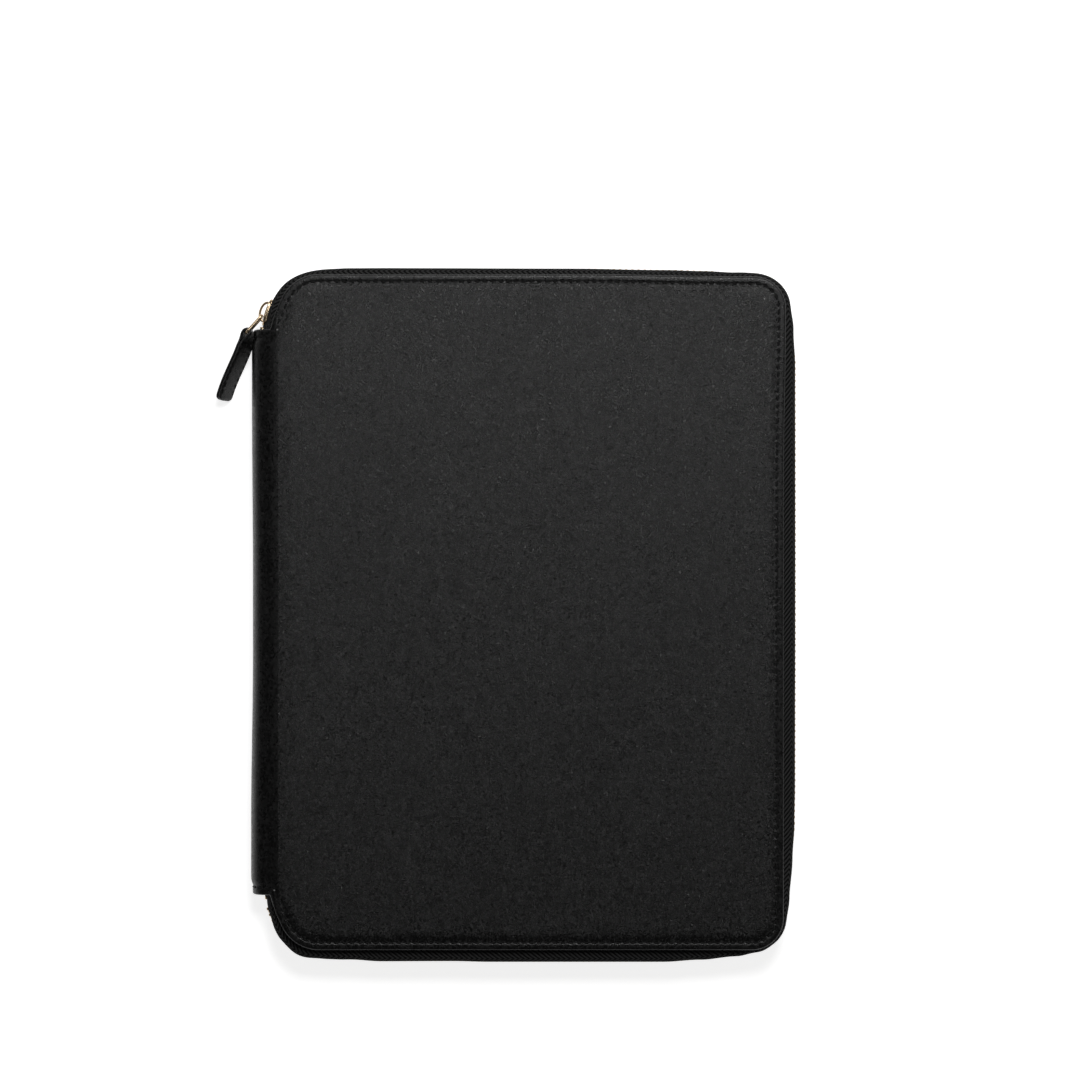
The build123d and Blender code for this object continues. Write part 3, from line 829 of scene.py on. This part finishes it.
def tape_section(length):
    """The front tape's section at a length, drawn in where the zip runs into the spine."""
    from_end = min(length, CHAIN_LENGTH - length)
    narrow = 1 - smooth(from_end, 16.0, 26.0)
    tail = 1 - smooth(from_end, 3.0, 10.0)
    cad_length = np.interp(length, CHAIN_LENGTHS, CAD_LENGTHS)
    let_out = through_keys(cad_length, LET_OUT)
    plain, belly = np.array(TAPE_SECTION), np.array(TAPE_BELLY)
    rows = []
    for out, z in plain + (belly - plain) * through_keys(cad_length, BELLY):
        drawn = max(out, TAPE_TUCK) * (1 - 0.75 * tail)
        # the sewn edge keeps its place on the cover however far the zip is let out
        sewn = 1 - smooth(out, TAPE_SECTION[0][0], TAPE_BELLY[2][0])
        level = z - TAIL_DROP * narrow * (out < -3)
        rows.append((out + (drawn - out) * narrow - let_out * sewn, level))
    return rows


def part_rows(length):
    """How far the front row is lifted where the zip is open beyond the slider."""
    return ROW_PART * (1 - smooth(length, MOUTH_LENGTH - 1.5, MOUTH_LENGTH + 4.5))


def zip_tape(name, back):
    """One side's tape, a woven strip from under the lining to its beaded edge in the teeth."""
    stations = list(np.arange(0, CHAIN_LENGTH, TAPE_STEP)) + [CHAIN_LENGTH]
    rings = []
    for length in stations:
        rows = np.array(tape_section(length))
        slopes = np.gradient(rows, axis=0)
        sides = np.array([unit((-s[1], s[0])) for s in slopes]) * -1
        halves = np.full(len(rows), TAPE_HALF)
        halves[-1] = BEAD
        halves[-2] = (BEAD + TAPE_HALF) / 2
        outer = rows + sides * halves[:, None]
        inner = rows - sides * halves[:, None]
        tip = rows[-1:] + np.array([[0.0, -0.3]])
        section = np.concatenate([outer, tip, inner[::-1]])
        section[:, 1] += part_rows(length) * (1 - smooth(section[:, 1], 13.0, 18.5))
        rings.append(chain_ring(chain_at(length), section, back))
    piece = lofted(name, rings, TAPE)
    rows = np.array(TAPE_SECTION)
    widths = running_lengths(rows)
    across = np.concatenate([widths, [widths[-1]], widths[::-1]])
    size = len(across)
    layer = piece.data.uv_layers.new(name="weave")
    for loop in piece.data.loops:
        station, row = divmod(loop.vertex_index, size)
        layer.data[loop.index].uv = (stations[station], across[row])
    return piece


def add_block(builder, length, section, middle, half, bevel, squeeze, back=False, lift=0.0):
    """A block clamped on the zip: a section across its line, drawn in at the block's ends."""
    place, section, middle = chain_at(length), np.array(section), np.array(middle)
    rings = []
    for along, size in zip((-half, bevel - half, half - bevel, half), (squeeze, 1.0, 1.0, squeeze)):
        shape = middle + (section - middle) * size + (0.0, lift)
        rings.append(chain_ring(place, shape, back, along))
    builder.loops(rings)


# a tooth across the zip's line: the clamp's foot and side and the head, and the bead's slot
TOOTH_SIDE = [(1.02, 15.25), (1.2, 15.0), (1.22, 12.9), (1.12, 12.0), (0.85, 11.45), (0.35, 11.3)]
TOOTH_SLOT = [(0.66, 15.2), (0.5, 14.9), (0.48, 12.75)]
TOOTH_SECTION = [(-out, z) for out, z in TOOTH_SIDE] + TOOTH_SIDE[::-1]
TOOTH_SECTION += TOOTH_SLOT + [(-out, z) for out, z in TOOTH_SLOT[::-1]]
TOOTH_MIDDLE = (0.0, 13.3)
TOOTH_HALF = 0.62
TOOTH_BEVEL = 0.13
TOOTH_SQUEEZE = (0.88, 0.94)


def zip_teeth(name, back):
    """One row of teeth, half a pitch on from the other row."""
    builder = Builder()
    first = FIRST_TOOTH + (TOOTH_PITCH / 2 if back else 0.0)
    run = CHAIN_LENGTH - 2 * FIRST_TOOTH
    count = round(run / TOOTH_PITCH)
    for k in range(count - (1 if back else 0)):
        length = first + k * (run / count)
        add_block(builder, length, TOOTH_SECTION, TOOTH_MIDDLE, TOOTH_HALF, TOOTH_BEVEL,
                  TOOTH_SQUEEZE, back, part_rows(length))
    return builder.piece(name, TEETH, flat=True)


def zip_stops(name, length, spans):
    """The metal stops at one end of the zip, rounded blocks over the tape."""
    builder = Builder()
    for bottom, top in spans:
        middle = (0.0, (top + bottom) / 2)
        section = oval(STOP_HALF_WIDTH, (top - bottom) / 2, 0.45, 0.45, 20)
        add_block(builder, length, np.add(section, middle), middle, 1.0, 0.2, 0.8)
    return builder.piece(name, GOLD)


# ---- slider, on the CAD model's turn of the zip ----
SLIDER_TURN = 72.0
SLIDER_HALF = 6.0
PLATE_IN, PLATE_OUT = 1.5, 2.6
PLATE_HALF_DEPTH = 4.6
NOSE_HALF_DEPTH = 3.9
FLANGE_SLOT, FLANGE_HALF = 0.65, 0.42
CROWN_AT = 0.4  # along the slider from its middle towards the stops
CROWN_HALF_LENGTH = 4.3
CROWN_TOP = 5.75
CROWN_THICKNESS = 1.2
CROWN_HALF_WIDTH = 1.7
CROWN_RINGS = 28


def on_slider(along, out, z):
    """A point on the slider: along the zip towards the stops, out from its line, and height."""
    angle = radians(SLIDER_TURN) + along / CHAIN_SPINE_RADIUS
    reach = CHAIN_SPINE_RADIUS + out
    return (SPINE_CENTRE_X - reach * sin(angle), SPINE_CENTRE_Y + reach * cos(angle), z)


def plate_half(along):
    """Half the slider's depth at a place along it: broad at its mouth, narrower at its nose."""
    return NOSE_HALF_DEPTH + (PLATE_HALF_DEPTH - NOSE_HALF_DEPTH) * smooth(along, -6.0, 1.0)


def plate_outline():
    """A slider plate seen square on, with round corners and a slight waist."""
    outline = []
    for c, s in full_turn(48):
        along = SLIDER_HALF * squared(c, 0.5)
        waist = 1 - 0.06 * cos(along / SLIDER_HALF * pi) ** 2
        outline.append((along, plate_half(along) * waist * squared(s, 0.5)))
    return outline


def add_plate(builder, near, far):
    """One plate of the slider, its outer edges rounded over."""
    step = np.sign(far - near)
    levels = [(0.9, near), (0.99, near + 0.12 * step), (1.0, near + 0.3 * step)]
    levels += [(1.0, far - 0.35 * step), (0.975, far - 0.14 * step), (0.93, far - 0.03 * step)]
    levels += [(0.85, far), (0.5, far)]
    rings = []
    for shrink, out in levels:
        rings.append([on_slider(a * shrink, out, MID_Z + z * shrink) for a, z in plate_outline()])
    builder.loops(rings)


def add_flange(builder, side, lip):
    """A lip on a plate's long edge that keeps the tape in."""
    foot, top = FLANGE_SLOT, PLATE_IN + 0.3
    rings = []
    for k in range(17):
        along = -SLIDER_HALF * 0.86 + SLIDER_HALF * 1.72 * k / 16
        middle = plate_half(along) * 0.93 - FLANGE_HALF
        rings.append([
            on_slider(along, side * (top + foot + out) / 2, MID_Z + lip * (middle + z))
            for out, z in oval(top - foot, FLANGE_HALF, 0.5, 0.5, 12)
        ])
    builder.loops(rings)


def slider_piece(name):
    """The slider: two plates, four lips and the diamond that parts the rows of teeth."""
    builder = Builder()
    for side in (1, -1):
        add_plate(builder, side * PLATE_IN, side * PLATE_OUT)
        for lip in (1, -1):
            add_flange(builder, side, lip)
    rings = []
    for out in (-PLATE_IN - 0.2, -0.6, 0.6, PLATE_IN + 0.2):
        rings.append([on_slider(3.7 + 1.5 * c, out, MID_Z + 0.3 * s) for c, s in full_turn(16)])
    builder.loops(rings)
    return builder.piece(name, GOLD)


def crown_piece(name):
    """The crown: a flat strip bridged over the outer plate, with a foot at each end."""
    rings = []
    for k in range(CROWN_RINGS + 1):
        angle = pi * k / CROWN_RINGS
        along = CROWN_AT - CROWN_HALF_LENGTH * cos(angle)
        rise = sin(angle) ** 0.8
        half_width = CROWN_HALF_WIDTH * (1.0 - 0.18 * rise)
        normal = unit((-cos(angle) * 0.9, sin(angle) + 0.15))
        foot = PLATE_OUT - 0.3
        out = foot + (CROWN_TOP - CROWN_THICKNESS / 2 - foot) * rise
        rings.append([
            on_slider(along + normal[0] * lift, out + normal[1] * lift, MID_Z + wide)
            for wide, lift in oval(half_width, CROWN_THICKNESS / 2, 0.7, 0.8, 16)
        ])
    return lofted(name, rings, GOLD)


# ---- pull tab: a strap folded round the link's far bar and stitched ----
# control points of the strap's curve, from the link's far bar to the tip
TAB_ROUTE = [(-133.0, 137.2, 12.0), (-133.6, 127.5, 11.3), (-141.6, 118.0, 7.6)]
TAB_ROUTE += [(-145.2, 104.2, 6.2)]
TAB_LENGTH = 35.8
PLY = 1.4
LOOP_RADIUS = 1.85
LOOP_REACH = 6.5
TAB_NECK_HALF, TAB_HALF = 4.0, 5.2
TAB_TWIST = 33.0
TIP_ROUND = 2.2


def tab_frame(u):
    """The tab's middle, its heading, its face's normal and its width's direction at a length."""
    t = max(0.0, u) / TAB_LENGTH
    p0, p1, p2, p3 = (np.array(p) for p in TAB_ROUTE)
    place = (1 - t) ** 3 * p0 + 3 * (1 - t) ** 2 * t * p1 + 3 * (1 - t) * t * t * p2 + t ** 3 * p3
    slope = (1 - t) ** 2 * (p1 - p0) + 2 * (1 - t) * t * (p2 - p1) + t * t * (p3 - p2)
    heading = unit(slope)
    if u < 0:
        place = place + heading * u
    level = unit(np.cross(heading, (0, 0, 1)))
    upright = np.cross(level, heading)
    twist = radians(TAB_TWIST) * smooth(u, -3.0, 6.0)
    face = level * cos(twist) - upright * sin(twist)
    width = upright * cos(twist) + level * sin(twist)
    return place, heading, face, width


def tab_half_width(u):
    """Half the strap's width: a neck at the link, broader below, rounded at the tip."""
    half = TAB_NECK_HALF + (TAB_HALF - TAB_NECK_HALF) * smooth(u, 1.5, 9.0)
    past = u - (TAB_LENGTH - TIP_ROUND)
    if past > 0:
        half -= TIP_ROUND - sqrt(max(TIP_ROUND ** 2 - min(past, TIP_ROUND) ** 2, 0.0))
    return half


def tab_path():
    """The folded strap's middle in (u, across): up one side, round the bar, down the other."""
    side = []
    for k in range(46):
        u = TAB_LENGTH - (TAB_LENGTH - 0.4) * k / 45
        spread = 1 - smooth(u, 0.0, LOOP_REACH)
        side.append((u, PLY / 2 + 0.04 + (LOOP_RADIUS - PLY / 2 - 0.04) * spread))
    turn = []
    for k in range(1, 16):
        angle = pi * k / 16
        turn.append((-LOOP_RADIUS * sin(angle), LOOP_RADIUS * cos(angle)))
    return side + turn + [(u, -across) for u, across in reversed(side)]


def tab_point(u, across, wide):
    """A point of the tab from its length, its place across the fold and its place in width."""
    place, heading, face, width = tab_frame(u)
    return place + face * across + width * wide


def pull_tab(name):
    """The leather tab."""
    path = tab_path()
    rings = []
    for k, (u, across) in enumerate(path):
        before, after = path[max(k - 1, 0)], path[min(k + 1, len(path) - 1)]
        slope = unit((after[0] - before[0], after[1] - before[1]))
        normal = (-slope[1], slope[0])
        half = tab_half_width(u)
        thin = 0.72 if k in (0, len(path) - 1) else 1.0
        rings.append([
            tuple(tab_point(u + normal[0] * lift, across + normal[1] * lift, wide))
            for wide, lift in oval(half, PLY / 2 * thin, 0.28, 0.55, 20)
        ])
    return lofted(name, rings, TAB)


TAB_STITCH_MARGIN = 1.1
TAB_STITCH_PITCH = 2.9
TAB_STITCH_HALF = 1.05
FINE_THREAD = 0.2


def tab_stitching(name):
    """Stitches along both edges of the tab, on both faces, and across below the loop."""
    builder = Builder()
    first, last = LOOP_REACH + 1.0, TAB_LENGTH - 2.2
    count = int((last - first) / TAB_STITCH_PITCH)
    for side in (1, -1):
        across = side * (PLY + 0.06)
        for edge in (1, -1):
            for k in range(count):
                u = first + (last - first) * (k + 0.5) / count
                start, end = (
                    tab_point(v, across, edge * (tab_half_width(v) - TAB_STITCH_MARGIN))
                    for v in (u - TAB_STITCH_HALF, u + TAB_STITCH_HALF)
                )
                add_stitch(builder, start, end, tab_frame(u)[2] * side, FINE_THREAD)
        for wide in (-2.0, 0.9):
            start, end = (tab_point(first - 0.6, across, w) for w in (wide, wide + 2.1))
            add_stitch(builder, start, end, tab_frame(first)[2] * side, FINE_THREAD)
    return builder.piece(name, THREAD)


# ---- pockets and pen loop on the linings ----
# a pocket's face from its edge inwards: inset, share of its thickness
POCKET_PROFILE = [(0.5, 0.0), (0.12, 0.12), (0.0, 0.35), (0.0, 0.62), (0.14, 0.85), (0.4, 0.96)]
POCKET_PROFILE += [(0.9, 1.0), (1.7, 0.98), (2.1, 0.84), (2.4, 0.7), (2.7, 0.84), (3.3, 0.98)]
POCKET_STITCH_INSET = 2.4
POCKET_STITCH_PITCH = 3.4
BINDING_REACH = 4.2


CORNER_STEPS = 8


def round_rect(centre, size, corner, inset):
    """A rounded rectangle drawn in by an inset, from its upper right corner round to the left."""
    half_x, half_y = size[0] / 2 - inset, size[1] / 2 - inset
    radius = max(corner - inset, 0.4)
    points = []
    for k, (sx, sy) in enumerate(((1, 1), (-1, 1), (-1, -1), (1, -1))):
        middle = (centre[0] + sx * (half_x - radius), centre[1] + sy * (half_y - radius))
        for i in range(CORNER_STEPS + 1):
            angle = pi / 2 * (k + i / CORNER_STEPS)
            points.append((middle[0] + radius * cos(angle), middle[1] + radius * sin(angle)))
    return points


def node_box(node):
    """The low and high corners of a CAD node."""
    return (np.array(c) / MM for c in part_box(node))


def pocket_size(node, faces_up):
    """A pocket's centre and size on the page, its two heights, and where its binding ends."""
    low, high = node_box(node)
    base, top = (low[2], high[2]) if faces_up else (high[2], low[2])
    return (low + high)[:2] / 2, (high - low)[:2], base, top, high[1] - BINDING_REACH


def pocket_piece(name, node, corner, faces_up):
    """A flat pocket sewn to a lining: rounded edges and a sunk seam, filled to the CAD's size."""
    centre, size, base, top, _ = pocket_size(node, faces_up)
    rings = []
    for inset, share in POCKET_PROFILE:
        z = base + (top - base) * share
        rings.append([(x, y, z) for x, y in round_rect(centre, size, corner, inset)])
    return lofted(name, rings, POCKET)


def pocket_stitching(name, node, corner, faces_up):
    """Stitches down both sides of a pocket and along its foot."""
    centre, size, base, top, open_edge = pocket_size(node, faces_up)
    level = base + (top - base) * 0.8
    seam = round_rect(centre, size, corner, POCKET_STITCH_INSET)
    # from the upper left corner, down, along the foot and up to the upper right corner
    left = CORNER_STEPS + 1
    around = [p for p in seam[left:] + seam[:1] if p[1] <= open_edge]
    around = [(seam[left][0], open_edge)] + around + [(seam[0][0], open_edge)]
    builder = Builder()
    up = (0, 0, 1 if faces_up else -1)
    for spot, heading in walk(np.array(around), POCKET_STITCH_PITCH, 1.7):
        half = heading * 1.1
        add_stitch(builder, (*(spot - half), level), (*(spot + half), level), up, 0.24)
    return builder.piece(name, THREAD)


def pocket_binding(name, node, faces_up):
    """A folded binding along a pocket's open edge."""
    centre, size, base, top, open_edge = pocket_size(node, faces_up)
    rise = np.sign(top - base)
    half = size[0] / 2 - 0.4
    rings = []
    for k in range(25):
        x = centre[0] - half + 2 * half * k / 24
        shrink = 0.6 if k in (0, 24) else 1.0
        section = oval(BINDING_REACH / 2 * shrink, 0.5 * shrink, 0.4, 0.6, 16)
        middle = (open_edge + BINDING_REACH / 2, top - 0.25 * rise)
        rings.append([(x, middle[0] + y, middle[1] + z) for y, z in section])
    return lofted(name, rings, EDGE)


PEN_WALL = 1.2
PEN_CORNER = 3.5


def pen_loop_piece(name):
    """The pen loop: a soft leather tube, its mouths rolled over, its roof a little slack."""
    low, high = node_box("pen_loop")
    centre = (low[0] / 2 + high[0] / 2, low[2] / 2 + high[2] / 2)
    size = (high[0] - low[0], high[2] - low[2])
    walls = [(0.0, 0.0), (0.0, 0.05), (0.0, 0.95), (0.0, 1.0), (0.25, 1.006), (0.6, 1.008)]
    walls += [(0.95, 1.006), (PEN_WALL, 1.0), (PEN_WALL, 0.9), (PEN_WALL, 0.1), (PEN_WALL, 0.0)]
    walls += [(0.95, -0.006), (0.6, -0.008), (0.25, -0.006)]
    rings = []
    for inset, share in walls:
        y = low[1] + 0.5 + (high[1] - low[1] - 1.0) * share
        slack = 0.35 * sin(pi * min(max(share, 0.0), 1.0))
        outline = round_rect(centre, size, PEN_CORNER, inset)
        rings.append([(x, y, z - slack * smooth(z, centre[1], high[2])) for x, z in outline])
    return lofted(name, rings, POCKET, round_trip=True)


# ---- pieces ----
def to_metres(*point):
    """A point in metres."""
    return tuple(MM * c for c in point)


# where a piece starts to leave the cover and where it has joined the spine: x and z at the front
SKIN_BLEND = ((SPINE_AXIS_X, THICKNESS), (SPINE_AXIS_X - SPINE_RADIUS, MID_Z))
TAPE_BLEND = ((-115.07, 19.84), (-118.0, 13.2))
TEETH_BLEND = ((-99.6, MID_Z), (-118.0, MID_Z))  # level, so that no tooth is sheared


def blend_to_spine(piece, back, places):
    """Bake a piece's transform into its mesh; it is not bent to the spine."""
    start, end = (to_metres(x, 0, on_side(z, back)) for x, z in places)
    body_of(back)
    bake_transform(piece)
    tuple(start)
    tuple(end)


for back in (False, True):
    side = "back" if back else "front"
    skin = cover_skin(f"{side}_leather_skin", back)
    blend_to_spine(skin, back, SKIN_BLEND)
    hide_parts(f"{side}_cover_leather", *([] if back else ["spine_leather"]))
    lining = cover_lining(f"{side}_lining_cloth", back)
    blend_to_spine(lining, back, SKIN_BLEND)
    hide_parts(f"{side}_lining", *([] if back else ["spine_lining"]))
    stitching = cover_stitching(f"{side}_stitching", back)
    for piece in (stitching, thread_ends(f"{side}_thread_ends", back)):
        blend_to_spine(piece, back, SKIN_BLEND)
    tape = zip_tape(f"{side}_tape", back)
    blend_to_spine(tape, back, TAPE_BLEND)
    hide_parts(f"{side}_zip_tape", f"{side}_zip_tape_ends")
    teeth = zip_teeth(f"{side}_teeth", back)
    blend_to_spine(teeth, back, TEETH_BLEND)
    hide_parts(f"{side}_zip_teeth", f"{side}_zip_teeth_ends")

upper_stops = zip_stops("upper_stops", STOP_LENGTH, [(13.3, 16.2), (7.8, 10.7)])
lower_stop = zip_stops("lower_stop", CHAIN_LENGTH - STOP_LENGTH, [(8.8, 15.2)])
# piece, the body it rides on, its slot, and the CAD nodes it replaces
for piece, body, slot, nodes in (
    (upper_stops, "spine", "zip_metal", ["top_stops"]),
    (lower_stop, "spine", "zip_metal", ["bottom_stop"]),
    (slider_piece("slider"), "zip_slider", "zip_metal", ["slider_body"]),
    (crown_piece("crown"), "zip_slider", "zip_metal", ["slider_crown"]),
    (pull_tab("leather_tab"), "tab", "tab_leather", ["pull_tab"]),
    (tab_stitching("tab_stitching"), "tab", "tab_leather", []),
):
    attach(piece, body)
    if nodes:
        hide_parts(*nodes)

# node, its corner radius, and whether it is on the back cover, facing up
POCKETS = [("pad_pocket", 6.0, True), ("document_pocket", 6.0, False)]
POCKETS += [(f"card_pocket_{k}", 4.0, False) for k in (1, 2, 3)]
for node, corner, in_back in POCKETS:
    pocket = pocket_piece(f"{node}_face", node, corner, in_back)
    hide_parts(node)
    seam = pocket_stitching(f"{node}_seam", node, corner, in_back)
    binding = pocket_binding(f"{node}_binding", node, in_back)
    for piece in (pocket, seam, binding):
        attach(piece, body_of(in_back))
pen_loop = pen_loop_piece("soft_pen_loop")
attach(pen_loop, "back_cover")
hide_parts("pen_loop")

NODE_MATERIALS = {
    "pull_link": GOLD, "front_foam": FOAM, "back_foam": FOAM, "front_board": BOARD,
    "back_board": BOARD, "spine_stiffener": BOARD,
}
for node, material in NODE_MATERIALS.items():
    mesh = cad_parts[node].data
    mesh.materials.clear()
    mesh.materials.append(material)

# ---- floor, light and camera ----
scene = bpy.context.scene
scene.view_settings.view_transform = "Standard"

world = bpy.data.worlds.new("studio")
world.use_nodes = True
scene.world = world
sky = world.node_tree.nodes["Background"].inputs
sky["Color"].default_value = (1.0, 1.0, 1.0, 1.0)
sky["Strength"].default_value = 0.08

FLOOR_GLOW = 0.82


def floor_material():
    """Plain pale studio paper."""
    n = Nodes("studio_paper")
    grain = n.noise(40.0, 2.0)
    return n.finish(
        Base_Color=n.ramp(grain, [(0.3, 0.6), (0.7, 0.62)]),
        Roughness=0.9,
        Specular_IOR_Level=0.1,
        Emission_Color=(1.0, 1.0, 1.0, 1.0),
        Emission_Strength=FLOOR_GLOW,
    )


FLOOR_HALF = 4000.0
corners = [(x * FLOOR_HALF, y * FLOOR_HALF, 0) for x, y in ((-1, -1), (1, -1), (1, 1), (-1, 1))]
floor = make_piece("studio_floor", corners, [(0, 1, 2, 3)], [floor_material()], flat=True)


def soft_box(name, place, target, size, power):
    """An area light aimed at a point."""
    light = bpy.data.lights.new(name, "AREA")
    light.shape = "RECTANGLE"
    light.size, light.size_y = size
    light.energy = power
    lamp = bpy.data.objects.new(name, light)
    scene.collection.objects.link(lamp)
    lamp.location = place
    aim = mathutils.Vector(target) - mathutils.Vector(place)
    lamp.rotation_euler = aim.to_track_quat("-Z", "Y").to_euler()


soft_box("key_light", (0.12, 0.6, 1.0), (0, 0.05, 0), (0.5, 0.45), 9.5)
soft_box("side_light", (1.6, 0.3, 0.9), (0, 0, 0), (0.8, 1.2), 0.8)

CAMERA_X, CAMERA_Y = 7.8, 38.1
FRAME_WIDTH = 521.6
LENS, SENSOR = 135.0, 36.0
FOCUS_Z = 20.0
camera = bpy.data.cameras.new("camera")
camera.lens = LENS
camera.sensor_width = SENSOR
camera.clip_end = 20.0
eye = bpy.data.objects.new("camera", camera)
scene.collection.objects.link(eye)
eye.location = to_metres(CAMERA_X, CAMERA_Y, FOCUS_Z + FRAME_WIDTH * LENS / SENSOR)
scene.camera = eye
